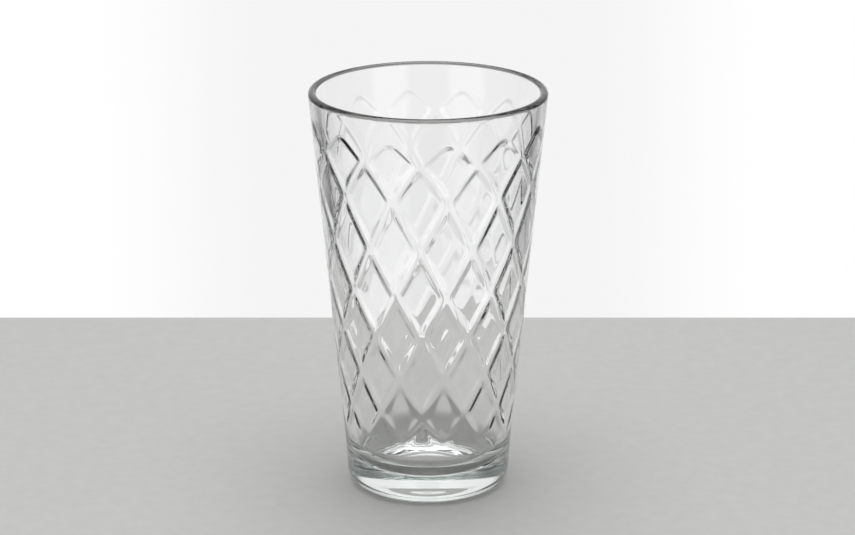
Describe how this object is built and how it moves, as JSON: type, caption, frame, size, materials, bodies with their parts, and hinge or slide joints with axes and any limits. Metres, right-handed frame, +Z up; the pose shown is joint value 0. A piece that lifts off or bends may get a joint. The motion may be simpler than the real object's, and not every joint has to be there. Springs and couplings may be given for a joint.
{
  "type": "drinking glass",
  "caption": "Tapered clear glass tumbler with a rounded lip, a heavy foot and a lattice of raised diamond pads on the inside of its wall, for cold drinks.",
  "frame": {"origin": "centre of the foot, on the plane that the glass stands on", "axes": "+Z up along the glass's axis; X and Y through groove crossings of the lattice"},
  "size_m": [0.08, 0.08, 0.1386],
  "materials": {
    "clear_glass": "clear soda-lime glass, moulded, with a fire-polished lip"
  },
  "bodies": {
    "root": {"rim": "clear_glass", "wall": "clear_glass", "base": "clear_glass"}
  },
  "joints": []
}
